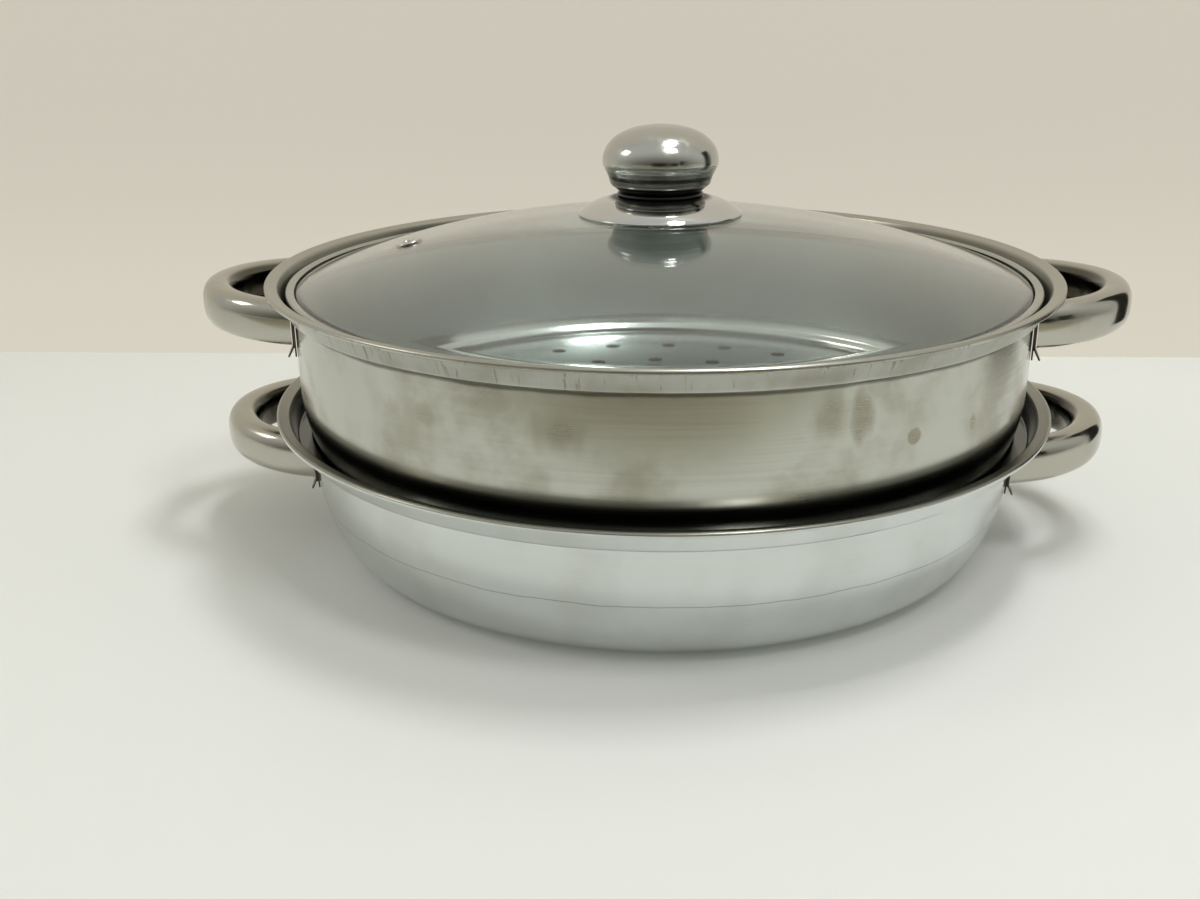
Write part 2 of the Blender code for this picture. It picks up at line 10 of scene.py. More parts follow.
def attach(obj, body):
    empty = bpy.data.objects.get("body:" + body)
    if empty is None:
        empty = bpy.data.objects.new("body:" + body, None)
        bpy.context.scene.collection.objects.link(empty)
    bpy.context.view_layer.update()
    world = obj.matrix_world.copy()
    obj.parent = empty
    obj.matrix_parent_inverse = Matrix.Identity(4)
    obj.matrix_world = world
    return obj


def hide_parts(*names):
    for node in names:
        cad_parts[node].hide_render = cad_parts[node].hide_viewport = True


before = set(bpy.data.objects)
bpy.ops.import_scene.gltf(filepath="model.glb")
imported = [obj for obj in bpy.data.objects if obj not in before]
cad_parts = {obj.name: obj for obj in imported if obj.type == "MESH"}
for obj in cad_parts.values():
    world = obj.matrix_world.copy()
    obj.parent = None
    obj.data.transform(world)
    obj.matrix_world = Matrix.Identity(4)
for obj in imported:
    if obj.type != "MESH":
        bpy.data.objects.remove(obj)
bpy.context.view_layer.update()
print("frame loaded:", len(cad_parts), "nodes")

mm = 0.001
pieces = bpy.data.collections.new("steamer pot")
studio = bpy.data.collections.new("studio")
bpy.context.scene.collection.children.link(pieces)
bpy.context.scene.collection.children.link(studio)


# The rim that both tiers share, and the steamer's sizes that it follows

rim = {
    "sheet": 0.7,
    "ledgeWidth": 2.9,
    "ledgeFall": 0.3,
    "collarDepth": 9.9,
    "collarFlare": 3.2,
    "flangeWidth": 4.3,
    "flangeRise": 0.9,
    "hemDrop": 1.5,
}

steamer = {
    "wall": 147.1,
    "wallDepth": 39.89,
    "shoulderRadius": 60.0,
    "shelfDepth": 61.9,
    "shelfInset": 7.7,
    "floorSink": 2.9,
    "floorSlope": 1.4,
    "holeRadius": 3.5,
    # ring radius, holes in the ring, degrees to its first hole
    "holeRings": ((109.0, 24, 87.4), (81.0, 18, 91.3), (54.0, 12, 90.0), (27.0, 6, 75.0)),
}

seatGap = 0.3
collarFoot = steamer["wall"] + rim["ledgeWidth"]
flangeFoot = collarFoot + rim["collarFlare"]
lip = flangeFoot + rim["flangeWidth"]


# Outlines: lists of (radius, height) in mm, drawn in the half plane to the right of the axis

def roundCorners(points, arcStep=10.0, guard=0.25):
    # each point is (x, z, fillet radius); a fillet becomes an arc with a guard point on each side
    path = []
    for i, (x, z, radius) in enumerate(points):
        here = Vector((x, z))
        if not radius:
            path.append(here)
            continue
        back = (Vector(points[i - 1][:2]) - here).normalized()
        ahead = (Vector(points[(i + 1) % len(points)][:2]) - here).normalized()
        turn = math.pi - back.angle(ahead)
        reach = radius * math.tan(turn / 2)
        centre = here + (back + ahead).normalized() * radius / math.cos(turn / 2)
        first = here + back * reach - centre
        sweep = first.angle_signed(here + ahead * reach - centre)
        steps = max(3, math.ceil(math.degrees(turn) / arcStep))
        path.append(here + back * (reach + guard))
        for k in range(steps + 1):
            path.append(centre + Matrix.Rotation(-sweep * k / steps, 2) @ first)
        path.append(here + ahead * (reach + guard))
    return path


def shares(count, first=0):
    # from 0 to 1 in equal steps
    return [k / count for k in range(first, count + 1)]


def arcPoints(centre, radius, start, end, step=3.0):
    # angles in degrees from straight down towards +X
    count = max(2, math.ceil(abs(end - start) / step))
    angles = [math.radians(start + (end - start) * share) for share in shares(count)]
    return [(centre[0] + radius * math.sin(a), centre[1] - radius * math.cos(a), 0) for a in angles]


def sideways(path, distance):
    # the same path moved to its right-hand side
    moved = []
    for i, here in enumerate(path):
        before = (here - path[i - 1]) if i else (path[1] - here)
        after = (path[i + 1] - here) if i < len(path) - 1 else before
        along = (before.normalized() + after.normalized()).normalized()
        spread = max(0.3, math.cos(before.angle(after) / 2))
        moved.append(here + Vector((along.y, -along.x)) * distance / spread)
    return moved


def roundEnd(start, end, steps=6):
    # half circle from start to end, bulging to the left of that line
    centre, arm = (start + end) / 2, (start - end) / 2
    return [centre + Matrix.Rotation(-math.pi * k / steps, 2) @ arm for k in range(1, steps)]


def sheetOutline(path, sheet, openEnd=False):
    # both faces of a sheet, with a rounded edge where it ends off the axis
    inside = sideways(path, sheet)[::-1]
    outline = list(path)
    if openEnd:
        outline += roundEnd(path[-1], inside[0])
    return outline + inside + roundEnd(inside[-1], path[0])


def smoothThrough(points, steps=8):
    # Catmull-Rom curve through the points
    ends = [points[0]] + list(points) + [points[-1]]
    path = []
    for a, b, c, d in zip(ends, ends[1:], ends[2:], ends[3:]):
        a, b, c, d = (Vector(p) for p in (a, b, c, d))
        for k in range(steps):
            t = k / steps
            path.append(
                b + (c - a) * t / 2 + (a - 2.5 * b + 2 * c - d / 2) * t**2
                + (1.5 * b - a / 2 - 1.5 * c + d / 2) * t**3
            )
    return path + [Vector(points[-1])]


# Meshes

sharpAngle = math.radians(38)


def settle(piece):
    # applies the modifiers, shades smooth and keeps real edges sharp
    graph = bpy.context.evaluated_depsgraph_get()
    piece.data = bpy.data.meshes.new_from_object(piece.evaluated_get(graph))
    piece.modifiers.clear()
    piece.data.shade_smooth()
    piece.data.set_sharp_from_angle(angle=sharpAngle)
    return piece


def newPiece(name, mesh):
    piece = bpy.data.objects.new(name, mesh)
    pieces.objects.link(piece)
    return piece


def turnPiece(name, outline, steps=256):
    # a closed outline turned about the axis; a stretch that lies on the axis is left out
    edges = []
    for i in range(len(outline)):
        j = (i + 1) % len(outline)
        if max(outline[i][0], outline[j][0]) > 0.001:
            edges.append((i, j))
    mesh = bpy.data.meshes.new(name)
    mesh.from_pydata([(max(x, 0) * mm, 0, z * mm) for x, z in outline], edges, [])
    piece = newPiece(name, mesh)
    screw = piece.modifiers.new("turn", "SCREW")
    screw.axis = "Z"
    screw.steps = screw.render_steps = steps
    screw.use_merge_vertices = True
    screw.merge_threshold = 0.000001
    return settle(piece)


def cutAway(piece, cutters):
    for cutter in cutters:
        boolean = piece.modifiers.new("cut", "BOOLEAN")
        boolean.operation = "DIFFERENCE"
        boolean.object = cutter
    settle(piece)
    for cutter in cutters:
        bpy.data.objects.remove(cutter, do_unlink=True)
    return piece


def meshFrom(bm, name):
    mesh = bpy.data.meshes.new(name)
    bm.to_mesh(mesh)
    bm.free()
    return newPiece(name, mesh)


def addDrill(bm, radius, depth, segments, place):
    bmesh.ops.create_cone(
        bm, cap_ends=True, segments=segments, depth=depth * mm, radius1=radius * mm, radius2=radius * mm,
        matrix=place,
    )


def dress(piece, finish, body, node, inside=None):
    piece.data.materials.clear()
    piece.data.materials.append(finish)
    if inside:
        # faces that look up or towards the axis
        piece.data.materials.append(inside)
        for face in piece.data.polygons:
            outward = face.normal.x * face.center.x + face.normal.y * face.center.y
            face.material_index = 1 if face.normal.z > 0.5 or outward < 0 and face.normal.z > -0.5 else 0
    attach(piece, body)
    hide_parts(node)
    return piece


# Materials

def hexToLinear(code):
    channels = [int(code[i:i + 2], 16) / 255 for i in (1, 3, 5)]
    linear = [c / 12.92 if c < 0.04045 else ((c + 0.055) / 1.055) ** 2.4 for c in channels]
    return (*linear, 1.0)


def setInputs(tree, node, inputs):
    # an input given as another node's socket is linked, any other value is set
    for name, value in inputs.items():
        if isinstance(value, bpy.types.NodeSocket):
            tree.links.new(value, node.inputs[name])
        else:
            node.inputs[name].default_value = value


def addNode(tree, kind, settings=None, inputs=None):
    node = tree.nodes.new("ShaderNode" + kind)
    for name, value in (settings or {}).items():
        setattr(node, name, value)
    setInputs(tree, node, inputs or {})
    return node


def calculate(tree, operation, *values):
    return addNode(tree, "Math", {"operation": operation}, dict(enumerate(values))).outputs[0]


def vectorMath(tree, operation, *values):
    node = addNode(tree, "VectorMath", {"operation": operation}, dict(enumerate(values)))
    return node.outputs["Value" if operation in ("LENGTH", "DOT_PRODUCT") else "Vector"]


def ramp(tree, value, start, end, low=0.0, high=1.0, kind="SMOOTHSTEP"):
    inputs = {"Value": value, "From Min": start, "From Max": end, "To Min": low, "To Max": high}
    return addNode(tree, "MapRange", {"interpolation_type": kind}, inputs).outputs[0]


def noise(tree, place, size, detail=2.0, roughness=0.5, distortion=0.0):
    # size is that of a cell, in the units of place
    inputs = {"Vector": place, "Scale": 1 / size, "Detail": detail, "Roughness": roughness}
    inputs["Distortion"] = distortion
    return addNode(tree, "TexNoise", None, inputs).outputs[0]


def blend(tree, share, first, second):
    # each colour is a hex code or a node's socket
    colours = [hexToLinear(colour) if isinstance(colour, str) else colour for colour in (first, second)]
    return addNode(tree, "Mix", {"data_type": "RGBA"}, {0: share, 6: colours[0], 7: colours[1]}).outputs[2]


def bumpFrom(tree, height, strength, depth):
    inputs = {"Strength": strength, "Distance": depth * mm, "Height": height}
    return addNode(tree, "Bump", None, inputs).outputs[0]


def newFinish(name):
    finish = bpy.data.materials.new(name)
    finish.use_nodes = True
    return finish, finish.node_tree, finish.node_tree.nodes["Principled BSDF"]


# 18/8 stainless sheet, deep drawn and then satin polished as it turned on a lathe: reflections
# blurred across the fine rings, a warm mottled film of handling and dried water, thin drips, and
# painted shade in the creases and where two walls nearly touch
satinLook = {
    "steel": "#C3C4BC",
    "film": "#857B60",
    # dark tone for painted shade in creases, gaps and behind the loops, and for the pot's scratch ring
    "shadeAndScratchTone": "#2E2E28",
    "roughness": (0.17, 0.22),
    "anisotropy": 0.5,
    "lineSpacing": 0.6,          # the real polishing lines are about 0.05 mm apart, too fine to show
    "lineLength": 60.0,
    "lineDepth": 0.0006,
    "lineContrast": (0.3, 0.7),
    "filmSize": 34.0,
    "filmEdge": (0.44, 0.66),    # the span of the noise over which the film sets in
    "filmDepth": 0.38,
    "filmRough": 0.15,
    "dripWidth": 1.5,
    "dripLength": 15.0,
    "dripEdge": (0.57, 0.70),
    "dripFade": 4.0,
    "dripDepth": 0.6,
    "splashGrain": (6.0, 13.0, 1.5),    # cell round the axis, cell along the profile, detail
    "splashRagged": 0.9,
    "splashEdge": 1.45,          # in half widths, before the ragged part is added
    "bandGrain": (18.0, 400.0),
    "bandWander": 1.6,
    "loopShadeHalfAngles": (14, 9),   # where the painted shade round a loop starts and where it is full
    "loopShadeFades": (4.0, 3.0),     # below and above it
    "loopShadeDepth": 0.9,
}

# The pot's outside: paler steel, painted light standing in for the bright table it mirrors, and a thinner
# film
paleLitPotLook = dict(satinLook, steel="#D9DDDB", film="#9C9A8C", filmDepth=0.16, roughness=(0.19, 0.24))

# The same sheet where only the press has touched it, inside and on the flange: hardly a mark, and
# a little rougher up the wall than on the floor
brightLook = dict(
    satinLook, steel="#B2B9B7", roughness=(0.12, 0.15), wallRough=0.16, wallFade=5.0, anisotropy=0.3,
    lineDepth=0.0004, filmDepth=0.10, bandWander=0.3,
)


def makeSatinStainless(name, look, bands=(), splashes=(), loopShadeHeights=None, dripFoot=None, wallFoot=None):
    # band: the heights in mm where it starts, is full, is still full and ends, its depth, and its
    # tint where it isn't the dark tone of painted shade and scratches
    # splash: heading in degrees, height, half width, half height and edge softness, and its depth
    finish, tree, shader = newFinish(name)
    place = addNode(tree, "TexCoord").outputs["Object"]
    x, y, z = addNode(tree, "SeparateXYZ", None, {0: place}).outputs
    flat = addNode(tree, "CombineXYZ", None, {0: x, 1: y}).outputs[0]
    radius = vectorMath(tree, "LENGTH", flat)
    heading = vectorMath(tree, "NORMALIZE", flat)

    def wrapped(acrossSize, alongSize, detail=2.0):
        # noise in cells of acrossSize mm round the axis by alongSize mm down the profile
        around = vectorMath(tree, "MULTIPLY", heading, (lip / acrossSize, lip / acrossSize, 0))
        down = calculate(tree, "MULTIPLY", calculate(tree, "ADD", radius, z), 1 / (alongSize * mm))
        down = addNode(tree, "CombineXYZ", None, {2: down}).outputs[0]
        return noise(tree, vectorMath(tree, "ADD", around, down), 1.0, detail)

    lines = wrapped(look["lineLength"], look["lineSpacing"])
    blots = noise(tree, place, look["filmSize"] * mm, 5.0, 0.55)
    film = ramp(tree, blots, *look["filmEdge"], 0.0, look["filmDepth"])
    if dripFoot:
        drips = ramp(tree, wrapped(look["dripWidth"], look["dripLength"]), *look["dripEdge"])
        low, high = (dripFoot - look["dripFade"]) * mm, (dripFoot + look["dripFade"]) * mm
        near = ramp(tree, z, low, high, 0.0, look["dripDepth"])
        film = calculate(tree, "MAXIMUM", film, calculate(tree, "MULTIPLY", drips, near))
    ragged = wrapped(*look["splashGrain"]) if splashes else None
    for turn, height, halfWidth, halfHeight, soft, depth in splashes:
        turn, edge = math.radians(turn), look["splashEdge"]
        centre = Vector((steamer["wall"] * math.cos(turn), steamer["wall"] * math.sin(turn), height)) * mm
        spread = tuple(1 / (size * mm) for size in (halfWidth, halfWidth, halfHeight))
        away = vectorMath(tree, "MULTIPLY", vectorMath(tree, "SUBTRACT", place, centre), spread)
        away = vectorMath(tree, "LENGTH", away)
        away = calculate(tree, "MULTIPLY_ADD", ragged, look["splashRagged"], away)
        film = calculate(tree, "MAXIMUM", film, ramp(tree, away, edge, edge - soft, 0.0, depth))
    colour = blend(tree, film, look["steel"], look["film"])

    wander = look["bandWander"] * mm
    height = calculate(tree, "MULTIPLY_ADD", wrapped(*look["bandGrain"]), wander, z)
    height = calculate(tree, "SUBTRACT", height, wander / 2)
    for start, full, still, end, depth, *tint in bands:
        rise = ramp(tree, height, start * mm, full * mm)
        fall = ramp(tree, height, still * mm, end * mm, depth, 0.0)
        share = calculate(tree, "MULTIPLY", rise, fall)
        colour = blend(tree, share, colour, tint[0] if tint else look["shadeAndScratchTone"])
    if loopShadeHeights:
        # painted shade on the wall behind the loop handles, where it is seen through the loops
        foot, top = loopShadeHeights
        below, above = look["loopShadeFades"]
        across = calculate(tree, "ABSOLUTE", vectorMath(tree, "DOT_PRODUCT", heading, (1, 0, 0)))
        rise = ramp(tree, z, (foot - below) * mm, foot * mm)
        fall = ramp(tree, z, top * mm, (top + above) * mm, look["loopShadeDepth"], 0.0)
        side = ramp(tree, across, *(math.cos(math.radians(angle)) for angle in look["loopShadeHalfAngles"]))
        share = calculate(tree, "MULTIPLY", side, calculate(tree, "MULTIPLY", rise, fall))
        colour = blend(tree, share, colour, look["shadeAndScratchTone"])

    rough = ramp(tree, lines, *look["lineContrast"], *look["roughness"])
    rough = calculate(tree, "MULTIPLY_ADD", film, look["filmRough"], rough)
    if wallFoot:
        wall = ramp(tree, z, wallFoot * mm, (wallFoot + look["wallFade"]) * mm, 0.0, look["wallRough"])
        rough = calculate(tree, "ADD", rough, wall)
    setInputs(tree, shader, {
        "Base Color": colour,
        "Roughness": rough,
        "Normal": bumpFrom(tree, lines, 0.35, look["lineDepth"]),
        "Tangent": addNode(tree, "Tangent", {"direction_type": "RADIAL", "axis": "Z"}).outputs[0],
        "Metallic": 1.0,
        "Anisotropic": look["anisotropy"],
        "Anisotropic Rotation": 0.25,
    })
    return finish


# Stainless strip and tube, buffed to a mirror: sharp reflections that wander a little over the
# pressed surface, with a few greasy smears
mirrorLook = {
    "steel": "#CFCCC4",
    "roughness": (0.11, 0.22),
    "smearSize": 14.0,
    "smearEdge": (0.42, 0.7),
    "waveSize": 14.0,
    "waveDepth": 0.12,
}

# The inner side of a loop is darkened with painted shade, standing in for the dark wall it mirrors
loopLook = dict(
    mirrorLook, steel="#BCB9AF", roughness=(0.13, 0.27),
    innerShade="#413E36", innerShadeEdge=(-0.35, -0.75), innerShadeDepth=0.85,
)

# Strip rolled into the lid's band, a little duller
bandLook = dict(mirrorLook, steel="#B2B4AC")

# The knob's cap, buffed by hand, with finger marks
capLook = dict(
    mirrorLook, steel="#C4C4BE", roughness=(0.13, 0.30), smearSize=7.0, waveSize=5.0, waveDepth=0.10,
)

# Spot-welded stainless strip, coloured near black with painted shade for the dark gap under the rim where
# it sits
shadedStripLook = dict(
    mirrorLook, steel="#4C483E", roughness=(0.28, 0.45), smearSize=3.0, waveSize=2.5, waveDepth=0.08,
)


def makeMirrorStainless(name, look, loopCentre=None):
    finish, tree, shader = newFinish(name)
    corner = addNode(tree, "TexCoord").outputs
    smears = noise(tree, corner["Object"], look["smearSize"] * mm, 4.0, distortion=0.5)
    waves = noise(tree, corner["Object"], look["waveSize"] * mm, 1.0)
    colour = hexToLinear(look["steel"])
    # painted shade on the faces that look towards the loop's middle
    if loopCentre:
        outward = vectorMath(tree, "SUBTRACT", corner["Object"], loopCentre)
        outward = vectorMath(tree, "NORMALIZE", vectorMath(tree, "MULTIPLY", outward, (1, 1, 0)))
        facing = vectorMath(tree, "DOT_PRODUCT", outward, corner["Normal"])
        innerShade = ramp(tree, facing, *look["innerShadeEdge"], 0.0, look["innerShadeDepth"])
        colour = blend(tree, innerShade, look["steel"], look["innerShade"])
    setInputs(tree, shader, {
        "Base Color": colour,
        "Roughness": ramp(tree, smears, *look["smearEdge"], *look["roughness"]),
        "Normal": bumpFrom(tree, waves, 0.5, look["waveDepth"]),
        "Metallic": 1.0,
    })
    return finish


# Pressed steel plated with nickel and chrome: a cold, clean mirror, with painted shade in the
# corner round the knob's collar
chromeLook = {
    "chrome": "#D6D7D6",
    "roughness": (0.04, 0.10),
    "smearSize": 9.0,
    "collarShade": "#16191A",
    "collarShadeRadii": (18.5, 22.0),
    "collarShadeDepth": 0.96,
    "collarShadeRough": 0.32,
}


def makeChromePlate(name, look):
    finish, tree, shader = newFinish(name)
    place = addNode(tree, "TexCoord").outputs["Object"]
    radius = vectorMath(tree, "LENGTH", vectorMath(tree, "MULTIPLY", place, (1, 1, 0)))
    # painted shade in a ring round the collar, also rougher there
    full, end = look["collarShadeRadii"]
    collarShade = ramp(tree, radius, full * mm, end * mm, look["collarShadeDepth"], 0.0)
    smears = noise(tree, place, look["smearSize"] * mm, 4.0)
    rough = ramp(tree, smears, 0.4, 0.7, *look["roughness"], "LINEAR")
    setInputs(tree, shader, {
        "Base Color": blend(tree, collarShade, look["chrome"], look["collarShade"]),
        "Roughness": calculate(tree, "MULTIPLY_ADD", collarShade, look["collarShadeRough"], rough),
        "Metallic": 1.0,
    })
    return finish


# Soda-lime glass, bent over a mould and tempered: clear with a green cast, a thin film of dust
glassLook = {"glass": "#F6FAF8", "ior": 1.52, "roughness": (0.01, 0.04), "filmSize": 35.0}


def makeTemperedGlass(name, look):
    finish, tree, shader = newFinish(name)
    film = noise(tree, addNode(tree, "TexCoord").outputs["Object"], look["filmSize"] * mm, 5.0)
    setInputs(tree, shader, {
        "Base Color": hexToLinear(look["glass"]),
        "Roughness": ramp(tree, film, 0.4, 0.7, *look["roughness"], "LINEAR"),
        "Transmission Weight": 1.0,
        "IOR": look["ior"],
    })
    # light for the food and the table passes through as it does through a thin pane
    pane = addNode(tree, "BsdfTransparent", None, {"Color": hexToLinear(look["glass"])})
    isShadow = addNode(tree, "LightPath").outputs["Is Shadow Ray"]
    mix = addNode(tree, "MixShader", None, {0: isShadow, 1: shader.outputs[0], 2: pane.outputs[0]})
    setInputs(tree, tree.nodes["Material Output"], {"Surface": mix.outputs[0]})
    return finish


# Phenolic, compression moulded: near black with a slight satin skin
phenolicLook = {"colour": "#17171A", "roughness": 0.34, "speckSize": 0.6, "metallic": 0.0}

# Silicone, moulded: milky and soft
siliconeLook = {"colour": "#C9C8C0", "roughness": 0.55, "speckSize": 1.2, "metallic": 0.0}

# Brass, turned
brassLook = {"colour": "#C9A45C", "roughness": 0.28, "speckSize": 0.8, "metallic": 1.0}


def makePlainFinish(name, look):
    finish, tree, shader = newFinish(name)
    specks = noise(tree, addNode(tree, "TexCoord").outputs["Object"], look["speckSize"] * mm, 3.0)
    low, high = look["roughness"] - 0.06, look["roughness"] + 0.06
    setInputs(tree, shader, {
        "Base Color": hexToLinear(look["colour"]),
        "Roughness": ramp(tree, specks, 0.0, 1.0, low, high, "LINEAR"),
        "Normal": bumpFrom(tree, specks, 0.3, 0.02),
        "Metallic": look["metallic"],
    })
    return finish


mirrorStainless = makeMirrorStainless("mirror stainless", mirrorLook)
bandStainless = makeMirrorStainless("rolled stainless band", bandLook)
shadedStripStainless = makeMirrorStainless("stainless strip with painted shade", shadedStripLook)
capStainless = makeMirrorStainless("hand buffed stainless, knob cap", capLook)
chromePlate = makeChromePlate("chrome plated steel", chromeLook)
temperedGlass = makeTemperedGlass("tempered soda-lime glass", glassLook)
blackPhenolic = makePlainFinish("black moulded phenolic", phenolicLook)
milkySilicone = makePlainFinish("milky silicone", siliconeLook)
turnedBrass = makePlainFinish("turned brass", brassLook)
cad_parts["knob_insert"].data.materials.clear()
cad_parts["knob_insert"].data.materials.append(turnedBrass)
print("finishes made")


# Pot and steamer shells

pot = {
    "height": 58.5,
    "wall": 144.2,
    "wallTaper": 1.5,
    "flankRadius": 60.0,
    "flankAngle": 80.0,
    "footRadius": 16.0,
    "footAngle": 60.0,
    "ringWidth": 21.7,
    "panelRise": 1.2,
    "panelSlope": 4.0,
}


def ledgeHeight(top):
    return top - rim["collarDepth"] - rim["ledgeFall"]


def rimPoints(top, wall):
    ledge, hem = ledgeHeight(top), lip - rim["sheet"]
    return [
        (hem, top - rim["hemDrop"], 0),
        (hem, top - rim["sheet"], 0.35),
        (flangeFoot, top - rim["sheet"] - rim["flangeRise"], 0.3),
        (collarFoot, ledge + rim["ledgeFall"], 1.3),
        (wall, ledge, 0.5),
    ]


def potArcs():
    # the centres of the circles of the flank and the foot
    flankTurn, footTurn = math.radians(pot["flankAngle"]), math.radians(pot["footAngle"])
    apart = pot["flankRadius"] - pot["footRadius"]
    x = pot["wall"] - pot["wallTaper"] - pot["flankRadius"] * math.sin(flankTurn)
    flank = (x, pot["footRadius"] + apart * math.cos(footTurn))
    return flank, (x + apart * math.sin(footTurn), pot["footRadius"])


def makePotShell():
    flankCentre, footCentre = potArcs()
    # the wall runs down to meet the flank's circle without a corner
    across, up = pot["wall"] - flankCentre[0], ledgeHeight(pot["height"]) - flankCentre[1]
    turn = math.atan2(up, across) - math.acos(pot["flankRadius"] / math.hypot(across, up))
    flank = arcPoints(flankCentre, pot["flankRadius"], 90 + math.degrees(turn), pot["footAngle"])
    foot = arcPoints(footCentre, pot["footRadius"], pot["footAngle"], 0, 5.0)
    ringX = footCentre[0] - pot["ringWidth"]
    panel = [(ringX, 0, 3.0), (ringX - pot["panelSlope"], pot["panelRise"], 3.0), (0, pot["panelRise"], 0)]
    path = roundCorners(rimPoints(pot["height"], pot["wall"]) + flank + foot[1:] + panel)
    return turnPiece("pot_shell", sheetOutline(path, rim["sheet"]))


def seatHeight():
    # how far the steamer's shoulder has dropped where it meets the pot's wall
    inward = pot["wall"] - rim["sheet"] - (steamer["wall"] - steamer["shoulderRadius"])
    return math.sqrt(steamer["shoulderRadius"] ** 2 - inward**2)


potLedge = ledgeHeight(pot["height"])
shoulderTop = potLedge + rim["sheet"] + seatHeight() + seatGap * steamer["shoulderRadius"] / seatHeight()
steamerTop = shoulderTop + steamer["wallDepth"]
steamerLedge = ledgeHeight(steamerTop)
shelfTop = steamerTop - steamer["shelfDepth"]
floorTop = shelfTop - steamer["floorSink"]


def makeSteamerShell():
    radius = steamer["shoulderRadius"]
    centre = (steamer["wall"] - radius, shoulderTop)
    end = math.acos((shoulderTop - shelfTop) / radius)
    # the arc stops short of its corner with the shelf, which has a fillet
    shoulder = arcPoints(centre, radius, 90, math.degrees(end) + 3.5)
    shelfX = steamer["wall"] - steamer["shelfInset"]
    bottom = [
        (centre[0] + radius * math.sin(end), shelfTop, 2.5),
        (shelfX, shelfTop, 0.6),
        (shelfX - steamer["floorSlope"], floorTop, 1.2),
        (0, floorTop, 0),
    ]
    path = roundCorners(rimPoints(steamerTop, steamer["wall"]) + shoulder + bottom)
    return cutAway(turnPiece("steamer_shell", sheetOutline(path, rim["sheet"])), [makePunches()])


def makePunches():
    # one cutter that punches every steam hole
    bm = bmesh.new()
    for ring, count, first in steamer["holeRings"]:
        for k in range(count):
            turn = math.radians(first) + 2 * math.pi * k / count
            place = Vector((ring * math.cos(turn), ring * math.sin(turn), floorTop)) * mm
            addDrill(bm, steamer["holeRadius"], 8.0, 24, Matrix.Translation(place))
    return meshFrom(bm, "punches")


# painted shade in the creases, inside the pot, on the inner collars, down the steamer's shoulder and
# where it stands in the pot's rim; a painted highlight on the shelf ring; warmer tones up the flanges, a
# light darkening of the steamer's collar, and on the pot an old scratch ring
scratch = 25.4
potBands = [
    # painted shade in the crease under the ledge
    (potLedge - 2.2, potLedge - 1.0, potLedge + 0.2, potLedge + 0.8, 0.6),
    (scratch - 0.35, scratch, scratch, scratch + 0.35, 0.45),
]
potInsideBands = [
    # painted shade: the pot's inside darkened below its ledge
    (-2.0, -1.0, potLedge - 5, potLedge, 0.6, "#6E6E68"),
    # painted shade on the inner collar, where the steamer stands in it
    (potLedge - 3, potLedge - 1, pot["height"] - 3.0, pot["height"] - 0.6, 0.85),
    # a darker warm tone on the flange top
    (pot["height"] - 2.6, pot["height"] - 1.6, pot["height"] + 1, pot["height"] + 2, 0.8, "#9C998D"),
]
steamerBands = [
    # painted shade on the steamer's foot, where it stands in the pot
    (-1.0, 0.0, potLedge, potLedge + 4, 0.55, "#4A4944"),
    # painted shade down the shoulder, the dark gap between the tiers
    (potLedge + 4, potLedge + 10, shoulderTop - 14.0, shoulderTop - 2.0, 0.9),
    # painted shade in the crease under the ledge
    (steamerLedge - 2.2, steamerLedge - 1.0, steamerLedge + 0.2, steamerLedge + 0.8, 0.7),
    # a light darkening over the collar outside
    (steamerLedge, steamerLedge + 2.0, steamerTop - 2.5, steamerTop - 1.0, 0.26),
]
steamerInsideBands = [
    # painted shade in the step between the floor and the shelf
    (floorTop + 0.7, floorTop + 1.2, shelfTop - 0.8, shelfTop - 0.4, 0.8),
    # painted highlight: a near-white ring on the shelf
    (shelfTop - 0.4, shelfTop - 0.1, shelfTop + 3.0, shelfTop + 5.4, 0.9, "#F4F6F4"),
    # a warmer tone up the inner collar and over the flange
    (steamerLedge - 2.0, steamerLedge - 0.5, steamerTop + 1.0, steamerTop + 2.0, 0.85, "#B4B1A5"),
    # painted shade inside the collar
    (steamerLedge - 1.5, steamerLedge - 0.5, steamerTop - 3.0, steamerTop - 0.8, 0.6),
]

# the four clear ones at the right, then faint broad ones, the last two at the back
splashes = [
    (-68.5, 90, 10.0, 11.0, 0.8, 0.46),
    (-64.5, 88, 6.0, 13.0, 0.7, 0.54),
    (-55.8, 78, 3.4, 3.4, 0.45, 0.62),
    (-43.9, 76.5, 3.0, 4.6, 0.6, 0.52),
    (-121, 85, 11.0, 8.0, 0.8, 0.45),
    (-93, 101, 38.0, 10.0, 1.3, 0.50),
    (-102, 86, 16.0, 10.0, 1.0, 0.48),
    (-113, 93, 14.0, 6.0, 0.9, 0.4),
    (-72, 104, 26.0, 5.0, 1.0, 0.45),
    (70, 90, 20.0, 10.0, 1.0, 0.45),
    (118, 84, 6.0, 7.0, 0.4, 0.55),
]

roughFoot = floorTop + 6.0
potOutside = makeSatinStainless(
    "paler stainless with painted light, pot outside", paleLitPotLook, potBands, loopShadeHeights=(potLedge - 8, pot["height"] - 3)
)
potInside = makeSatinStainless(
    "bright stainless, pot inside", brightLook, potInsideBands, wallFoot=roughFoot
)
steamerOutside = makeSatinStainless(
    "satin stainless, steamer outside", satinLook, steamerBands, splashes,
    (steamerLedge - 8, steamerTop - 3), steamerLedge,
)
steamerInside = makeSatinStainless(
    "bright stainless, steamer inside", brightLook, steamerInsideBands, wallFoot=roughFoot
)
dress(makePotShell(), potOutside, "pot", "pot_body", potInside)
dress(makeSteamerShell(), steamerOutside, "steamer", "steamer_body", steamerInside)
print("pot and steamer shells spun, steamer top at", round(steamerTop, 2), "mm")


# Loop handles and the plates behind their legs

